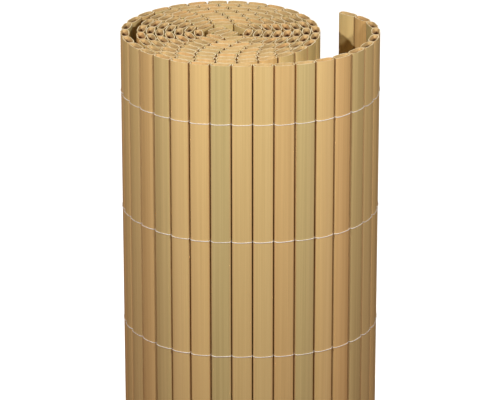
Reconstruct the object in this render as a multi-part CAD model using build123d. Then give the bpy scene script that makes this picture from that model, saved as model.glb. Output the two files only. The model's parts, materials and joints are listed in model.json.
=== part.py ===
"""A plastic privacy screen, rolled up and standing on end.

Hollow slats stand side by side, and rows of thread hold them together as a mat. The mat is wound
into a spiral. Its last turn is loose: it bulges at the left, touches the roll at the front and then
leaves it as a free flap that curls round the right-hand side.

Millimetres and degrees. X points right, Y away from the viewer and Z up, with the slats' lower ends
at Z = 0. Seen from above, the mat winds outwards anticlockwise.
"""
import os
from math import asin, atan2, cos, degrees, hypot, pi, radians, sin, tan

from build123d import *

# Slat: a hollow extrusion with a flat crown on both faces and shallow bevels down to its edges
SLAT_LENGTH = 900.0
SLAT_WIDTH = 17.75
SLAT_THICKNESS = 8.0
BEVEL_WIDTH = 4.5
EDGE_HEIGHT = 5.4
WALL = 0.8

# Mat: slats in the wound part and in the loose last turn, and the thread rows that hold them
WOUND_SLATS = 121
LOOSE_SLATS = 35
SLAT_GAP = 1.0
THREAD_MARGIN = 54.0
THREAD_SPACING = 112.0
THREAD_HEIGHT = 1.0
THREAD_DEPTH = 0.8
THREAD_CLEARANCE = 0.05

# Wound part: the mat's inner end is folded flat at the heart and lies off its middle, against the first
# turn, in a direction counted from the spiral's start. Then come the room for that turn and what
# neighbouring turns and slats keep clear.
FOLDED_SLATS = 3
FOLD_DIRECTION = 201.146
FOLD_ALONG = -2.0
FOLD_ACROSS = 2.0
HEART_ROOM = 9.9
TURN_CLEARANCE = 0.4
EDGE_CLEARANCE = 0.4

# Loose turn: the direction it starts in, then angles counted from that start
LOOSE_START = -2.2
BULGE = 6.5
BULGE_START = 115.5
BULGE_END = 231.5
FLAP_LEAVES = 270.0
FLAP_WIDEST = 365.0
FLAP_REACH = 45.5
FLAP_RETURN = 57.5

# The flap leaves the roll's outer faces open this far back before the loose turn, so threads show there
THREAD_LEAD = 66.5

SLAT_PITCH = SLAT_WIDTH + SLAT_GAP
TURN_PITCH = SLAT_THICKNESS + TURN_CLEARANCE
HEART_RADIUS = SLAT_WIDTH / 2 + HEART_ROOM


def half_wave(share):
    """Rise smoothly from 0 to 1 while the share goes from 0 to 1."""
    return (1 - cos(pi * min(max(share, 0), 1))) / 2


def lift(angle):
    """How far the loose turn stands off the spiral, at an angle from the loose turn's start."""
    share = (angle - BULGE_START) / (BULGE_END - BULGE_START)
    bulge = BULGE * half_wave(2 * share) * half_wave(2 - 2 * share)
    rise = half_wave((angle - FLAP_LEAVES) / (FLAP_WIDEST - FLAP_LEAVES))
    fall = half_wave((angle - FLAP_WIDEST) / FLAP_RETURN)
    return bulge + FLAP_REACH * (rise - fall)


def path_point(angle, loose_from, first_direction=0.0):
    """Point of the mat's middle line, at an angle from the spiral's start at the heart."""
    radius = HEART_RADIUS + TURN_PITCH * angle / 360 + lift(angle - loose_from)
    direction = radians(first_direction + angle)
    return (radius * cos(direction), radius * sin(direction))


def hinge_distance(point):
    """Distance between the gaps on both sides of a slat. Near the heart the gaps open, so that the
    inner corners of neighbouring slats stay clear of each other."""
    slope = tan(asin(SLAT_PITCH / (2 * hypot(*point))))
    edge_gap = EDGE_HEIGHT * slope
    crown_gap = SLAT_THICKNESS * slope - 2 * BEVEL_WIDTH
    return SLAT_WIDTH + max(SLAT_GAP, EDGE_CLEARANCE + max(edge_gap, crown_gap))


def walk(angle, count, loose_from):
    """Angles of the next gaps outwards, one slat apart."""
    angles = []
    for _ in range(count):
        start = path_point(angle, loose_from)
        wanted = hinge_distance(start)
        near = angle
        far = angle + 150
        for _ in range(50):
            middle = (near + far) / 2
            x, y = path_point(middle, loose_from)
            if hypot(x - start[0], y - start[1]) < wanted:
                near = middle
            else:
                far = middle
        angle = near
        angles.append(angle)
    return angles


def offset_run(points, distance):
    """Move a run of straight pieces to its left by a distance, with mitred corners."""
    moved = []
    for index, (x, y) in enumerate(points):
        normals = []
        for a, b in ((index - 1, index), (index, index + 1)):
            if a >= 0 and b < len(points):
                run_x = points[b][0] - points[a][0]
                run_y = points[b][1] - points[a][1]
                length = hypot(run_x, run_y)
                normals.append((-run_y / length, run_x / length))
        normal_x = sum(n[0] for n in normals)
        normal_y = sum(n[1] for n in normals)
        mitre = distance * len(normals) / (normal_x ** 2 + normal_y ** 2)
        moved.append((x + normal_x * mitre, y + normal_y * mitre))
    return moved


# Gaps of the mat: first the wound part, whose length says where the loose turn starts
wound_angles = [0.0] + walk(0.0, WOUND_SLATS, float("inf"))
loose_from = wound_angles[-1]
gap_angles = wound_angles + walk(loose_from, LOOSE_SLATS, loose_from)
gap_angles.reverse()
spiral_start = LOOSE_START - loose_from
gaps = [path_point(angle, loose_from, spiral_start) for angle in gap_angles]

# Slats from the free end inwards, each half way between two gaps with its outer face towards +Y
slat_places = []
for (x0, y0), (x1, y1) in zip(gaps, gaps[1:]):
    slat_places.append(((x0 + x1) / 2, (y0 + y1) / 2, degrees(atan2(y1 - y0, x1 - x0))))

# The folded slats at the heart lie face to face
fold_turn = (spiral_start + FOLD_DIRECTION) % 360
fold_cos = cos(radians(fold_turn))
fold_sin = sin(radians(fold_turn))
for layer in range(FOLDED_SLATS):
    across = FOLD_ACROSS + TURN_PITCH * (layer - (FOLDED_SLATS - 1) / 2)
    fold_x = FOLD_ALONG * fold_cos - across * fold_sin
    fold_y = FOLD_ALONG * fold_sin + across * fold_cos
    slat_places.append((fold_x, fold_y, fold_turn))

half_width = SLAT_WIDTH / 2
half_crown = SLAT_WIDTH / 2 - BEVEL_WIDTH
half_thickness = SLAT_THICKNESS / 2
half_edge = EDGE_HEIGHT / 2
outline = [
    (half_width, -half_edge),
    (half_width, half_edge),
    (half_crown, half_thickness),
    (-half_crown, half_thickness),
    (-half_width, half_edge),
    (-half_width, -half_edge),
    (-half_crown, -half_thickness),
    (half_crown, -half_thickness),
]

# The threads run over the outer faces of the slats that no other turn covers
thread_run = [gap for angle, gap in zip(gap_angles, gaps) if angle > loose_from - THREAD_LEAD]
thread_seat = half_thickness + THREAD_CLEARANCE
thread_inside = offset_run(thread_run, thread_seat)
thread_outside = offset_run(thread_run, thread_seat + THREAD_DEPTH)

# The origin is the middle of the whole roll's footprint
footprint = list(thread_outside)
for x, y, turn in slat_places:
    turn_cos = cos(radians(turn))
    turn_sin = sin(radians(turn))
    footprint += [(x + turn_cos * u - turn_sin * v, y + turn_sin * u + turn_cos * v) for u, v in outline]
middle_x = (min(p[0] for p in footprint) + max(p[0] for p in footprint)) / 2
middle_y = (min(p[1] for p in footprint) + max(p[1] for p in footprint)) / 2

solid_section = Polygon(*outline, align=None)
section = solid_section - offset(solid_section, amount=-WALL, kind=Kind.INTERSECTION)
slat = extrude(section, amount=SLAT_LENGTH)
slats = [Location((x - middle_x, y - middle_y, 0), (0, 0, turn)) * slat for x, y, turn in slat_places]

# Each slat of the loose turn is a node, and so is each wound turn with its slats as separate solids. The
# folded slats at the heart count as the last wound turn.
nodes = {}
for number in range(LOOSE_SLATS):
    nodes[f"slat_{number + 1:02d}"] = slats[number]
turns = {}
for angle, placed in zip(gap_angles[LOOSE_SLATS:-1], slats[LOOSE_SLATS:]):
    turn_number = int((loose_from - angle) // 360) + 1
    turns.setdefault(turn_number, []).append(placed)
turns[len(turns) + 1] = slats[-FOLDED_SLATS:]
for turn_number, members in turns.items():
    nodes[f"wound_turn_{turn_number}"] = Compound(children=members)

strip = Polygon(*thread_outside, *reversed(thread_inside), align=None)
thread = extrude(strip, amount=THREAD_HEIGHT)
thread_rows = int((SLAT_LENGTH - 2 * THREAD_MARGIN) // THREAD_SPACING) + 1
for row in range(thread_rows):
    height = SLAT_LENGTH - THREAD_MARGIN - row * THREAD_SPACING - THREAD_HEIGHT / 2
    nodes[f"thread_row_{row + 1}"] = Location((-middle_x, -middle_y, height)) * thread

os.makedirs("parts", exist_ok=True)
for name, shape in nodes.items():
    shape.label = name
    export_step(shape, f"parts/{name}.step")
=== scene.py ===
"""Looks of a rolled-up privacy screen: hollow plastic slats, the thread that stitches them, and a studio.

Metres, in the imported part's own frame: X points right, Y away from the viewer and Z up. Every slat and
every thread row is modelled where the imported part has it.
"""
import json
import random
from math import cos, radians, sin

import bmesh
import bpy
import numpy as np
from mathutils import Matrix, Vector


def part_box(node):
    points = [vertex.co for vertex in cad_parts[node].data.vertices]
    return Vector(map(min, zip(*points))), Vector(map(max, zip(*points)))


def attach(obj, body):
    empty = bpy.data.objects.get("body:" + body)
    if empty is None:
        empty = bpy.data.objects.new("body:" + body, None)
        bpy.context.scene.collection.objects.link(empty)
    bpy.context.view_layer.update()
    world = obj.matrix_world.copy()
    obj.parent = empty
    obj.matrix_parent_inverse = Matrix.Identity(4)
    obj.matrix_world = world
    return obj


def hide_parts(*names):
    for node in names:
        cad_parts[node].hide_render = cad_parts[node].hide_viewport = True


MM = 0.001
WHITE = (1.0, 1.0, 1.0)

# Slat: the flat crown, the edges it falls to, their rounding, and the wall of the hollow section
CROWN_WIDTH = 8.75 * MM
EDGE_DROP = 1.3 * MM
EDGE_ROUND = 1.3 * MM
EDGE_STEPS = 2
WALL = 0.8 * MM
SMOOTH_LIMIT = radians(17)

# Points this close count as one, and faces that look this squarely at an end or a gap count as facing it
SAME_PLACE = 0.01 * MM
FACING_END = 0.9
FACING_GAP = 0.6

# A slat's finishes, by their place in its list of materials, and the attribute that holds its own number
SKIN, RIM, BORE, SHADED_GAP_EDGE = range(4)
SLAT_NUMBER = "slat_number"

# Stitch: the thread on one slat, from the gap at its -X side to the gap at its +X side. It is lifted off the
# face and ends at a depth in both gaps. Its ends and the gaps' mouths lie just outside the slat's edges, and
# it bends over them a little further in. On the way it rises slightly and then dips.
SLAT_PITCH = 18.75 * MM
THREAD_THICK = 0.86 * MM
STITCH_LIFT = 0.36 * MM
STITCH_DEPTH = 1.5 * MM
STITCH_END_OUT = 0.2 * MM
STITCH_MOUTH_OUT = 0.1 * MM
STITCH_MOUTH_DROP = 0.9 * MM
STITCH_EDGE_IN = 0.8 * MM
STITCH_RISE = 0.1 * MM
STITCH_DIP = -0.4 * MM

# Shares of the edge's drop: how low the thread lies at the edge, and where it dips
SHOULDER_DROP = 0.75
DIP_DROP = 0.25

# Shares of half the crown where the thread has half its dip and all of it, and the share left at the edge
DIP_HALF_AT = 0.3
DIP_FULL_AT = 1.3
DIP_LEFT = 0.3

# Shares of the thread's thickness: on the face, where it leaves the gaps, and tight inside them
STITCH_WAIST = 0.82
STITCH_FULL = 1.25
STITCH_TIGHT = 0.4

# Fineness of a strand's mesh, how strands differ, the room that one needs, and how near its slat a strip lies
STITCH_ORDER = 3
STITCH_STEPS = 1
STITCH_SIDES = 1
STITCH_SPREAD = 0.25
ROW_WANDER = 0.12 * MM
STRAND_ROOM = 1.2 * MM
STRIP_REACH = 2.5 * MM

# Tints of the slats, each from its dark streaks to its light ones, and their shares in the wound turns
STRAW = [(0.63, 0.45, 0.185), (0.685, 0.497, 0.212), (0.72, 0.535, 0.235)]
OLIVE = [(0.51, 0.395, 0.165), (0.575, 0.447, 0.193), (0.63, 0.495, 0.22)]
TAN = [(0.63, 0.405, 0.160), (0.70, 0.46, 0.187), (0.74, 0.50, 0.21)]
WOUND_TINTS = ("straw_slat", "straw_slat", "straw_slat", "tan_slat", "straw_slat", "olive_slat")
SEED = 61945

# Streaks: their usual detail and roughness, and how far apart the slats' numbers lie in the noise
STREAK_DETAIL = 2.0
STREAK_ROUGHNESS = 0.55
NUMBER_SPREAD = 37.0

# Slat skin: broad and fine streaks, by their scales across and along the slat, what the fine ones and a
# slat's own number do to the tint, and the surface
BROAD_STREAKS = (330, 330, 2.2)
BROAD_PLACES = (0.25, 0.5, 0.78)
FINE_STREAKS = (1500, 1500, 7.0)
FINE_DETAIL = 3.0
FINE_RANGE = [(0.25, (0.86, 0.84, 0.80)), (0.75, (1.06, 1.06, 1.05))]
FINE_SHARE = 0.75
SKIN_RANGE = [(0.0, (0.94, 0.98, 1.0)), (1.0, (1.05, 1.01, 0.98))]
SKIN_ROUGHNESS = (0.38, 0.6)
SKIN_GLOSS = 0.35
SKIN_GRAIN = 0.25
SKIN_GRAIN_DEPTH = 0.15 * MM

# Cut rims: pale patches, made paler still as a painted highlight of the light on the top ends, and a fine
# grain
RIM_PATCHES = (170, 170, 170)
RIM_TINT_AND_HIGHLIGHT = [(0.4, (0.70, 0.52, 0.25)), (0.62, (0.94, 0.82, 0.55))]
RIM_GRAINS = (900, 900, 900)
RIM_GRAIN = 0.4
RIM_GRAIN_DEPTH = 0.1 * MM
RIM_ROUGHNESS = 0.65

# Bores: their streaks, what a slat's own number does to them, how far from the ends the painted shade
# deep in the bore starts, where it is quite dark, and the colour of that painted shade
BORE_STREAKS = (700, 700, 5.0)
BORE_TINT = [(0.3, (0.65, 0.44, 0.19)), (0.7, (0.75, 0.53, 0.24))]
BORE_RANGE = [(0.0, (0.88, 0.87, 0.85)), (0.5, (1.0, 1.0, 1.0)), (1.0, (1.05, 0.95, 0.88))]
BORE_SHADE_START = 2.0 * MM
BORE_DARK = 6.4 * MM
BORE_SHADE = (0.19, 0.055, 0.04)

# Edges that face the gaps, painted darker as the shade in the gaps, and the dull surface that they share with
# the bores and, in its gloss, the rims
GAP_STREAKS = (700, 700, 9.0)
GAP_SHADE_TINT = [(0.3, (0.55, 0.34, 0.145)), (0.7, (0.64, 0.44, 0.195))]
DULL_ROUGHNESS = 0.6
DULL_GLOSS = 0.25

# Thread: the lean, fineness and unevenness of its twist, its tints and its surface
TWIST_LEAN = radians(35)
TWIST_SCALE = 380.0
TWIST_UNEVEN = 1.5
THREAD_TINT = [(0.1, (0.76, 0.68, 0.57)), (0.6, (0.95, 0.91, 0.84))]
THREAD_GRAIN = 0.5
THREAD_GRAIN_DEPTH = 0.12 * MM
THREAD_ROUGHNESS = 0.8
THREAD_GLOSS = 0.15

# A Mix node's sockets for colours, which share their names with those for numbers
MIX_FIRST = 6
MIX_SECOND = 7
MIX_RESULT = 2

# Studio lamps, aimed at the middle of the roll's upper end: two in front of the roll, one behind and above,
# two low warm ones at its sides and a low one behind. A turn counts from the front, positive to the right.
WARM = (1.0, 0.9, 0.8)
BLUSH = (1.0, 0.58, 0.55)
LAMPS = [
    dict(name="left_lamp", turn=-31.0, elevation=27.0, distance=0.9, power=5.05, size=0.035),
    dict(name="right_lamp", turn=31.0, elevation=23.0, distance=0.9, power=4.5, size=0.035),
    dict(name="top_lamp", turn=180.0, elevation=55.0, distance=1.0, power=5.3, size=0.1, colour=WARM),
    dict(name="left_side_lamp", turn=-60.0, elevation=-20.0, distance=1.3, power=2.1, size=0.5, colour=BLUSH),
    dict(name="right_side_lamp", turn=60.0, elevation=-20.0, distance=1.3, power=2.1, size=0.5, colour=BLUSH),
    dict(name="back_lamp", turn=-170.0, elevation=-12.0, distance=1.3, power=6.5, size=0.5),
]

# Floor and room: what the picture shows of them, what they give back to the roll, and the floor's own light
FLOOR_SIZE = 40.0
FLOOR_SHOWN = (0.95, 0.95, 0.95)
FLOOR_BOUNCE = (0.03, 0.02, 0.015)
FLOOR_ROUGHNESS = 0.9
FLOOR_WASH = 3.6
FLOOR_WASH_SPREAD = radians(150)
ROOM_LIGHT = (0.05, 0.04, 0.04)

# Camera, as the photograph looks at the roll
IMAGE_WIDTH = 500
CAMERA_PLACE = (-0.0001, -3.000, 1.9519)
CAMERA_PITCH = 22.032
CAMERA_FAR = 100
FOCAL_PIXELS = 3535.5
SENSOR = 36.0


def deselect():
    """Leave nothing selected, so that operators act only on what comes next."""
    bpy.ops.object.select_all(action="DESELECT")


def select(piece, kind, chosen):
    """Enter edit mode on one piece and select the corners, edges or faces that a test picks."""
    deselect()
    piece.select_set(True)
    bpy.context.view_layer.objects.active = piece
    bpy.ops.object.mode_set(mode="EDIT")
    bpy.ops.mesh.select_mode(type=kind)
    bpy.ops.mesh.select_all(action="DESELECT")
    shape = bmesh.from_edit_mesh(piece.data)
    elements = {"VERT": shape.verts, "EDGE": shape.edges, "FACE": shape.faces}[kind]
    for element in elements:
        if chosen(element):
            element.select_set(True)
    bmesh.update_edit_mesh(piece.data)


def leave_edit():
    """Go back to object mode."""
    bpy.ops.object.mode_set(mode="OBJECT")


def solids_of(cad_node):
    """Corner points of each separate solid that a CAD node holds."""
    mesh = bmesh.new()
    mesh.from_mesh(cad_node.data)
    bmesh.ops.remove_doubles(mesh, verts=mesh.verts, dist=SAME_PLACE)
    seen = set()
    found = []
    for start in mesh.verts:
        if start in seen:
            continue
        seen.add(start)
        front = [start]
        points = []
        while front:
            corner = front.pop()
            points.append(corner.co.copy())
            for edge in corner.link_edges:
                other = edge.other_vert(corner)
                if other not in seen:
                    seen.add(other)
                    front.append(other)
        found.append(np.array(points))
    mesh.free()
    return found


def slat_place(points, axis):
    """Middle of a slat's lower end, the direction of its width and its outward direction, all in plan."""
    plan = points[:, :2]
    middle = plan.mean(0)
    spread = plan - middle
    _, directions = np.linalg.eigh(spread.T @ spread)
    along = directions[:, 1]
    outward = np.array([-along[1], along[0]])
    if outward @ (middle - axis) < 0:
        along = -along
        outward = -outward
    return middle, along, outward


def place_matrix(place, height):
    """Matrix that takes a shape modelled with X along the width and Y outward to a slat's place."""
    middle, along, outward = place
    return Matrix((
        (along[0], outward[0], 0, middle[0]),
        (along[1], outward[1], 0, middle[1]),
        (0, 0, 1, height),
        (0, 0, 0, 1),
    ))


def model_slat(width, thickness, length):
    """One hollow slat at the origin: a flat crown on both faces, rounded edges and open ends."""

    def runs_along(edge):
        low, high = edge.verts
        return abs(low.co.z - high.co.z) > length / 2

    def on_crown(corner):
        return abs(corner.co.y) > thickness / 2 - SAME_PLACE

    def beside_gap(edge):
        outermost = all(abs(corner.co.x) > width / 2 - SAME_PLACE for corner in edge.verts)
        return outermost and runs_along(edge)

    def across_end(face):
        return abs(face.normal.z) > FACING_END

    def round_opening(edge):
        return edge.is_boundary

    deselect()
    bpy.ops.mesh.primitive_cube_add(size=1, location=(0, 0, length / 2))
    slat = bpy.context.active_object
    slat.name = "slat_pattern"
    slat.scale = (width, thickness, length)
    bpy.ops.object.transform_apply(location=True, rotation=True, scale=True)

    # The block's long corners are cut off, and its two faces are narrowed to the crown
    select(slat, "EDGE", runs_along)
    bpy.ops.mesh.bevel(offset=EDGE_DROP, segments=1, affect="EDGES")
    leave_edit()
    select(slat, "VERT", on_crown)
    narrow = CROWN_WIDTH / (width - 2 * EDGE_DROP)
    bpy.ops.transform.resize(value=(narrow, 1, 1), center_override=(0, 0, 0))
    leave_edit()
    select(slat, "EDGE", beside_gap)
    bpy.ops.mesh.bevel(offset=EDGE_ROUND, segments=EDGE_STEPS, affect="EDGES")
    leave_edit()

    # Both ends are opened inside the wall, and the openings are joined by the bore
    select(slat, "FACE", across_end)
    bpy.ops.mesh.inset(thickness=WALL, use_even_offset=True)
    bpy.ops.mesh.delete(type="FACE")
    leave_edit()
    select(slat, "EDGE", round_opening)
    bpy.ops.mesh.bridge_edge_loops()
    bpy.ops.mesh.select_all(action="SELECT")
    bpy.ops.mesh.normals_make_consistent(inside=False)
    leave_edit()
    bpy.ops.object.shade_smooth_by_angle(angle=SMOOTH_LIMIT)
    mark_finishes(slat.data, width, thickness)
    return slat


def mark_finishes(mesh, width, thickness):
    """Give the slat's pattern its finishes: outer skin, cut rims, bore and the edges that face the gaps,
    painted darker as shade.
    """
    for face in mesh.polygons:
        turned_in = face.normal.x * face.center.x / width + face.normal.y * face.center.y / thickness < 0
        if abs(face.normal.z) > FACING_END:
            face.material_index = RIM
        elif turned_in:
            face.material_index = BORE
        # Faces turned to a gap get the darker finish: painted shade in the gaps
        elif abs(face.normal.x) > FACING_GAP:
            face.material_index = SHADED_GAP_EDGE
        else:
            face.material_index = SKIN


def model_stitch(width, thickness):
    """One strand over one slat: tight in both gaps, fuller where it leaves them, and dipping near one."""
    edge = width / 2
    end = edge + STITCH_END_OUT
    mouth = edge + STITCH_MOUTH_OUT
    bend = edge - STITCH_EDGE_IN
    crown = CROWN_WIDTH / 2
    face = thickness / 2 + STITCH_LIFT
    shoulder = face - EDGE_DROP * SHOULDER_DROP
    inside = shoulder - STITCH_MOUTH_DROP
    points = [
        (-end, -STITCH_DEPTH, 0, STITCH_TIGHT),
        (-mouth, inside, STITCH_RISE / 2, STITCH_TIGHT),
        (-bend, shoulder, STITCH_RISE, STITCH_FULL),
        (-crown, face, STITCH_RISE / 2, STITCH_WAIST),
        (crown * DIP_HALF_AT, face, STITCH_DIP / 2, STITCH_WAIST),
        (crown * DIP_FULL_AT, face - EDGE_DROP * DIP_DROP, STITCH_DIP, STITCH_WAIST),
        (bend, shoulder, STITCH_DIP * DIP_LEFT, STITCH_FULL),
        (mouth, inside, 0, STITCH_TIGHT),
        (end, -STITCH_DEPTH, 0, STITCH_TIGHT),
    ]
    deselect()
    bpy.ops.curve.primitive_nurbs_path_add(location=(0, 0, 0))
    strand = bpy.context.active_object
    strand.name = "stitch_pattern"
    line = strand.data
    line.splines.clear()
    spline = line.splines.new("NURBS")
    spline.points.add(len(points) - 1)
    for knot, (x, y, z, girth) in zip(spline.points, points):
        knot.co = (x, y, z, 1)
        knot.radius = girth
    spline.order_u = STITCH_ORDER
    spline.use_endpoint_u = True
    spline.resolution_u = STITCH_STEPS
    line.bevel_depth = THREAD_THICK / 2
    line.bevel_resolution = STITCH_SIDES
    line.use_fill_caps = True
    bpy.ops.object.convert(target="MESH")
    strand = bpy.context.active_object
    bpy.ops.object.shade_smooth()
    return strand


def copy_of(pattern, matrix):
    """A copy of a pattern with its own mesh, put in place."""
    piece = bpy.data.objects.new(pattern.name, pattern.data.copy())
    bpy.context.scene.collection.objects.link(piece)
    piece.data.transform(matrix)
    return piece


def join(pieces, name):
    """Make one object of several copies."""
    deselect()
    for piece in pieces:
        piece.select_set(True)
    bpy.context.view_layer.objects.active = pieces[0]
    if len(pieces) > 1:
        bpy.ops.object.join()
    joined = bpy.context.view_layer.objects.active
    joined.name = name
    joined.data.name = name
    return joined


def mark_slat(piece, value):
    """Write a slat's own number on all its faces, for the materials to vary by."""
    mark = piece.data.attributes.new(SLAT_NUMBER, "FLOAT", "FACE")
    mark.data.foreach_set("value", [value] * len(piece.data.polygons))


def has_room(point, own, slats, width, thickness):
    """Whether a strand at a point in plan lies clear of every slat but its own."""
    for other in slats:
        if other is own:
            continue
        middle, along, outward = other
        beside = abs((point - middle) @ along) < width / 2 + STRAND_ROOM
        within = abs((point - middle) @ outward) < thickness / 2 + STRAND_ROOM
        if beside and within:
            return False
    return True


def stitched_slats(cad_row, slats, thickness):
    """Slats that a thread row's strip lies on."""
    strip = np.array([corner.co for corner in cad_row.data.vertices])[:, :2]
    found = []
    for place in slats:
        middle, along, outward = place
        reach = middle + outward * thickness / 2
        ends = [reach + along * side * SLAT_PITCH / 2 for side in (-1, 1)]
        if all(np.hypot(*(strip - end).T).min() < STRIP_REACH for end in ends):
            found.append(place)
    return found


def strand_matrix(place, height, side):
    """Place of a strand on the outer face (side 1) or the inner face (side -1), never quite like the next."""
    lean = Matrix.Scale(1 + random.uniform(-STITCH_SPREAD, STITCH_SPREAD), 4, (0, 0, 1))
    turn = Matrix.Rotation(0 if side > 0 else radians(180), 4, "Z")
    return place_matrix(place, height + random.uniform(-ROW_WANDER, ROW_WANDER)) @ turn @ lean


def new_finish(name):
    """A node material, its tree and its shader."""
    material = bpy.data.materials.new(name)
    material.use_nodes = True
    tree = material.node_tree
    return material, tree, tree.nodes["Principled BSDF"]


def add_node(tree, kind, **settings):
    """Add a node and give it its plain settings."""
    made = tree.nodes.new(kind)
    for key, value in settings.items():
        setattr(made, key, value)
    return made


def streaks(tree, scale, detail=STREAK_DETAIL):
    """Noise drawn out along the slats and different on every slat, and the slat's own number."""
    place = add_node(tree, "ShaderNodeTexCoord")
    stretch = add_node(tree, "ShaderNodeMapping")
    stretch.inputs["Scale"].default_value = scale
    tree.links.new(place.outputs["Object"], stretch.inputs["Vector"])
    number = add_node(tree, "ShaderNodeAttribute", attribute_name=SLAT_NUMBER)
    spread = add_node(tree, "ShaderNodeMath", operation="MULTIPLY")
    spread.inputs[1].default_value = NUMBER_SPREAD
    tree.links.new(number.outputs["Fac"], spread.inputs[0])
    noise = add_node(tree, "ShaderNodeTexNoise", noise_dimensions="4D")
    noise.inputs["Scale"].default_value = 1.0
    noise.inputs["Detail"].default_value = detail
    noise.inputs["Roughness"].default_value = STREAK_ROUGHNESS
    tree.links.new(stretch.outputs["Vector"], noise.inputs["Vector"])
    tree.links.new(spread.outputs["Value"], noise.inputs["W"])
    return noise.outputs["Fac"], number.outputs["Fac"]


def ramp(tree, value, stops):
    """Colours over a value, from a list of places and colours."""
    made = add_node(tree, "ShaderNodeValToRGB")
    elements = made.color_ramp.elements
    while len(elements) < len(stops):
        elements.new(0.5)
    for element, (at, colour) in zip(elements, stops):
        element.position = at
        element.color = (*colour, 1)
    tree.links.new(value, made.inputs["Fac"])
    return made.outputs["Color"]


def mix(tree, share, first, second, blend="MIX"):
    """Mix two colours. The share is a number or a socket, and each colour is a tuple or a socket."""
    made = add_node(tree, "ShaderNodeMix", data_type="RGBA", blend_type=blend)
    if isinstance(share, float):
        made.inputs["Factor"].default_value = share
    else:
        tree.links.new(share, made.inputs["Factor"])
    for socket, colour in ((made.inputs[MIX_FIRST], first), (made.inputs[MIX_SECOND], second)):
        if isinstance(colour, tuple):
            socket.default_value = (*colour, 1)
        else:
            tree.links.new(colour, socket)
    return made.outputs[MIX_RESULT]


def roughen(tree, shader, height, strength, depth):
    """Give a surface a fine grain that follows a height."""
    bump = add_node(tree, "ShaderNodeBump")
    bump.inputs["Strength"].default_value = strength
    bump.inputs["Distance"].default_value = depth
    tree.links.new(height, bump.inputs["Height"])
    tree.links.new(bump.outputs["Normal"], shader.inputs["Normal"])


def slat_skin(name, tints):
    """Satin plastic with fine streaks along the slat, a little different on each slat."""
    material, tree, shader = new_finish(name)
    broad, number = streaks(tree, BROAD_STREAKS)
    fine, _ = streaks(tree, FINE_STREAKS, FINE_DETAIL)
    base = ramp(tree, broad, list(zip(BROAD_PLACES, tints)))
    lines = ramp(tree, fine, FINE_RANGE)
    colour = mix(tree, FINE_SHARE, base, lines, "MULTIPLY")
    own = ramp(tree, number, SKIN_RANGE)
    colour = mix(tree, 1.0, colour, own, "MULTIPLY")
    tree.links.new(colour, shader.inputs["Base Color"])
    smoothest, roughest = SKIN_ROUGHNESS
    rough = add_node(tree, "ShaderNodeMapRange")
    rough.inputs["To Min"].default_value = smoothest
    rough.inputs["To Max"].default_value = roughest
    tree.links.new(fine, rough.inputs["Value"])
    tree.links.new(rough.outputs["Result"], shader.inputs["Roughness"])
    roughen(tree, shader, fine, SKIN_GRAIN, SKIN_GRAIN_DEPTH)
    shader.inputs["Specular IOR Level"].default_value = SKIN_GLOSS
    return material


def cut_rim():
    """The pale, slightly ragged cut across a slat's wall, made paler still as a painted highlight of the
    light on the top ends.
    """
    material, tree, shader = new_finish("cut_rim_with_painted_highlight")
    grain, _ = streaks(tree, RIM_GRAINS)
    patches, _ = streaks(tree, RIM_PATCHES)
    # Partly a painted highlight: the rims' pale colour also stands in for the light on the top ends
    tree.links.new(ramp(tree, patches, RIM_TINT_AND_HIGHLIGHT), shader.inputs["Base Color"])
    roughen(tree, shader, grain, RIM_GRAIN, RIM_GRAIN_DEPTH)
    shader.inputs["Roughness"].default_value = RIM_ROUGHNESS
    shader.inputs["Specular IOR Level"].default_value = DULL_GLOSS
    return material


def bore_wall(length):
    """The duller inside of a slat of a given length, with painted shade that darkens it with the distance
    from its ends.
    """
    material, tree, shader = new_finish("slat_bore")
    lines, number = streaks(tree, BORE_STREAKS)
    colour = ramp(tree, lines, BORE_TINT)
    own = ramp(tree, number, BORE_RANGE)
    colour = mix(tree, 1.0, colour, own, "MULTIPLY")
    place = add_node(tree, "ShaderNodeTexCoord")
    parts = add_node(tree, "ShaderNodeSeparateXYZ")
    tree.links.new(place.outputs["Object"], parts.inputs["Vector"])
    along = add_node(tree, "ShaderNodeMath", operation="SUBTRACT")
    along.inputs[1].default_value = length / 2
    tree.links.new(parts.outputs["Z"], along.inputs[0])
    from_middle = add_node(tree, "ShaderNodeMath", operation="ABSOLUTE")
    tree.links.new(along.outputs["Value"], from_middle.inputs[0])
    # Painted shade deep in the bore: further from the ends, the colour is mixed towards the dark shade colour
    depth = add_node(tree, "ShaderNodeMapRange")
    depth.inputs["From Min"].default_value = length / 2 - BORE_SHADE_START
    depth.inputs["From Max"].default_value = length / 2 - BORE_DARK
    tree.links.new(from_middle.outputs["Value"], depth.inputs["Value"])
    colour = mix(tree, depth.outputs["Result"], colour, BORE_SHADE)
    tree.links.new(colour, shader.inputs["Base Color"])
    shader.inputs["Roughness"].default_value = DULL_ROUGHNESS
    shader.inputs["Specular IOR Level"].default_value = DULL_GLOSS
    return material


def shaded_gap_edge():
    """The edges that face the gaps, painted darker as the shade in the gaps."""
    material, tree, shader = new_finish("shaded_gap_edge")
    lines, _ = streaks(tree, GAP_STREAKS)
    # Painted shade: a darker red-brown than the skin, standing in for the shade in the gaps
    tree.links.new(ramp(tree, lines, GAP_SHADE_TINT), shader.inputs["Base Color"])
    shader.inputs["Roughness"].default_value = DULL_ROUGHNESS
    shader.inputs["Specular IOR Level"].default_value = DULL_GLOSS
    return material


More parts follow.
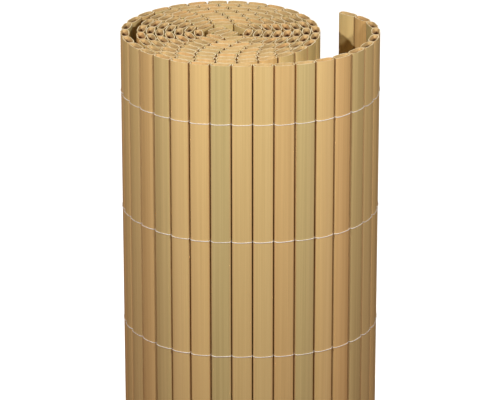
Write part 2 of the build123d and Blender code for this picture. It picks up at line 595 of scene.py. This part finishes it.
def thread_yarn():
    """Cream thread, twisted, with a soft matt surface."""
    material, tree, shader = new_finish("cream_thread")
    place = add_node(tree, "ShaderNodeTexCoord")
    lean = add_node(tree, "ShaderNodeMapping")
    lean.inputs["Rotation"].default_value = (0, TWIST_LEAN, TWIST_LEAN)
    tree.links.new(place.outputs["Object"], lean.inputs["Vector"])
    twist = add_node(tree, "ShaderNodeTexWave", wave_type="BANDS", bands_direction="DIAGONAL")
    twist.inputs["Scale"].default_value = TWIST_SCALE
    twist.inputs["Distortion"].default_value = TWIST_UNEVEN
    tree.links.new(lean.outputs["Vector"], twist.inputs["Vector"])
    tree.links.new(ramp(tree, twist.outputs["Fac"], THREAD_TINT), shader.inputs["Base Color"])
    roughen(tree, shader, twist.outputs["Fac"], THREAD_GRAIN, THREAD_GRAIN_DEPTH)
    shader.inputs["Roughness"].default_value = THREAD_ROUGHNESS
    shader.inputs["Specular IOR Level"].default_value = THREAD_GLOSS
    return material


def seen_white(tree, shown, otherwise):
    """A colour that the picture sees as one value and the light that bounces as another."""
    path = add_node(tree, "ShaderNodeLightPath")
    return mix(tree, path.outputs["Is Camera Ray"], otherwise, shown)


def add_floor():
    """A pale floor, white in the picture."""
    deselect()
    bpy.ops.mesh.primitive_plane_add(size=FLOOR_SIZE, location=(0, 0, 0))
    made = bpy.context.active_object
    made.name = "floor"
    material, tree, shader = new_finish("white_floor")
    tree.links.new(seen_white(tree, FLOOR_SHOWN, FLOOR_BOUNCE), shader.inputs["Base Color"])
    shader.inputs["Roughness"].default_value = FLOOR_ROUGHNESS
    shader.inputs["Specular IOR Level"].default_value = 0.0
    made.data.materials.append(material)
    return made


def add_lamp(target, name, turn, elevation, distance, power, size, colour=WHITE):
    """A square lamp aimed at a target."""
    side = radians(turn)
    up = radians(elevation)
    towards = Vector((sin(side) * cos(up), -cos(side) * cos(up), sin(up)))
    light = bpy.data.lights.new(name, "AREA")
    light.energy = power
    light.size = size
    light.color = colour
    lamp = bpy.data.objects.new(name, light)
    bpy.context.scene.collection.objects.link(lamp)
    lamp.location = target + towards * distance
    lamp.rotation_mode = "QUATERNION"
    lamp.rotation_quaternion = (-towards).to_track_quat("-Z", "Y")


def add_floor_wash(lit):
    """A broad light from above that falls on the floor alone and keeps it white."""
    light = bpy.data.lights.new("floor_wash", "SUN")
    light.energy = FLOOR_WASH
    light.angle = FLOOR_WASH_SPREAD
    wash = bpy.data.objects.new("floor_wash", light)
    bpy.context.scene.collection.objects.link(wash)
    floor_only = bpy.data.collections.new("floor_only")
    floor_only.objects.link(lit)
    wash.light_linking.receiver_collection = floor_only


def add_room():
    """A room that is white in the picture and gives the roll a faint light."""
    room = bpy.data.worlds.new("room")
    room.use_nodes = True
    tree = room.node_tree
    tree.links.new(seen_white(tree, WHITE, ROOM_LIGHT), tree.nodes["Background"].inputs["Color"])
    bpy.context.scene.world = room


def add_camera():
    """The camera, at the photograph's viewing angle."""
    lens = bpy.data.cameras.new("camera")
    lens.sensor_width = SENSOR
    lens.lens = SENSOR * FOCAL_PIXELS / IMAGE_WIDTH
    lens.clip_end = CAMERA_FAR
    camera = bpy.data.objects.new("camera", lens)
    bpy.context.scene.collection.objects.link(camera)
    camera.location = CAMERA_PLACE
    camera.rotation_euler = (radians(90 - CAMERA_PITCH), 0, 0)
    bpy.context.scene.camera = camera


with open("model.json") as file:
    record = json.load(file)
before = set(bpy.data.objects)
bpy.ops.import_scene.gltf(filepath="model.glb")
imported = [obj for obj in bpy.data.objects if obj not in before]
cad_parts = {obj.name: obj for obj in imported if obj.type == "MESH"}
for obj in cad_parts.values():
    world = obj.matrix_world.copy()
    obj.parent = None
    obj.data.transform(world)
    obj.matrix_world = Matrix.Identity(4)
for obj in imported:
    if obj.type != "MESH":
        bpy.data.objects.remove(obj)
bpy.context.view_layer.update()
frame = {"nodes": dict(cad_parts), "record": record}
random.seed(SEED)

# Where the slats stand, and their size
slat_nodes = sorted(name for name in frame["nodes"] if name.startswith("slat_"))
turn_nodes = sorted(name for name in frame["nodes"] if name.startswith("wound_turn_"))
row_nodes = sorted(name for name in frame["nodes"] if name.startswith("thread_row_"))
solids = {name: solids_of(frame["nodes"][name]) for name in slat_nodes + turn_nodes}
wound_points = np.concatenate([points for name in turn_nodes for points in solids[name]])
roll_axis = (wound_points[:, :2].min(0) + wound_points[:, :2].max(0)) / 2
places = {name: [slat_place(points, roll_axis) for points in solids[name]] for name in solids}
all_places = [place for name in places for place in places[name]]
first_points = solids[slat_nodes[0]][0]
_, first_along, first_outward = places[slat_nodes[0]][0]
slat_width = float(np.ptp(first_points[:, :2] @ first_along))
slat_thickness = float(np.ptp(first_points[:, :2] @ first_outward))
slat_length = float(np.ptp(first_points[:, 2]))
top_height = float(first_points[:, 2].max())

# Finishes: a skin for each tint, and the rims, bores, edges and threads that all slats share
skins = {
    "straw_slat": slat_skin("straw_plastic", STRAW),
    "olive_slat": slat_skin("olive_plastic", OLIVE),
    "tan_slat": slat_skin("tan_plastic", TAN),
}
rim_finish = cut_rim()
bore_finish = bore_wall(slat_length)
gap_shade_finish = shaded_gap_edge()
thread_finish = thread_yarn()

# Slats: one piece for each slat of the loose turn and one for each wound turn
slat_pattern = model_slat(slat_width, slat_thickness, slat_length)
tint_of = {row["node"]: row["material_slot"] for row in frame["record"]["subparts"]}
for name in slat_nodes + turn_nodes:
    copies = []
    for place in places[name]:
        tint = tint_of[name] if name in slat_nodes else random.choice(WOUND_TINTS)
        piece = copy_of(slat_pattern, place_matrix(place, 0))
        mark_slat(piece, random.random())
        for material in (skins[tint], rim_finish, bore_finish, gap_shade_finish):
            piece.data.materials.append(material)
        copies.append(piece)
    piece = join(copies, "hollow_" + name)
    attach(piece, "root")
    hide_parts(name)

# Threads: a strand over each slat's outer face in the open, and one on the inner face where there is room
strand_pattern = model_stitch(slat_width, slat_thickness)
strand_pattern.data.materials.append(thread_finish)
for row in row_nodes:
    low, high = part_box(row)
    height = (low.z + high.z) / 2
    strands = []
    for place in stitched_slats(frame["nodes"][row], all_places, slat_thickness):
        strands.append(copy_of(strand_pattern, strand_matrix(place, height, 1)))
        middle, _, outward = place
        behind = middle - outward * (slat_thickness / 2 + THREAD_THICK)
        if has_room(behind, place, all_places, slat_width, slat_thickness):
            strands.append(copy_of(strand_pattern, strand_matrix(place, height, -1)))
    piece = join(strands, "stitches_" + row)
    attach(piece, "root")
    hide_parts(row)
for pattern in (slat_pattern, strand_pattern):
    bpy.data.objects.remove(pattern)

# Studio
floor = add_floor()
for lamp in LAMPS:
    add_lamp(Vector((0, 0, top_height)), **lamp)
add_floor_wash(floor)
add_room()
bpy.context.scene.view_settings.view_transform = "Standard"
add_camera()
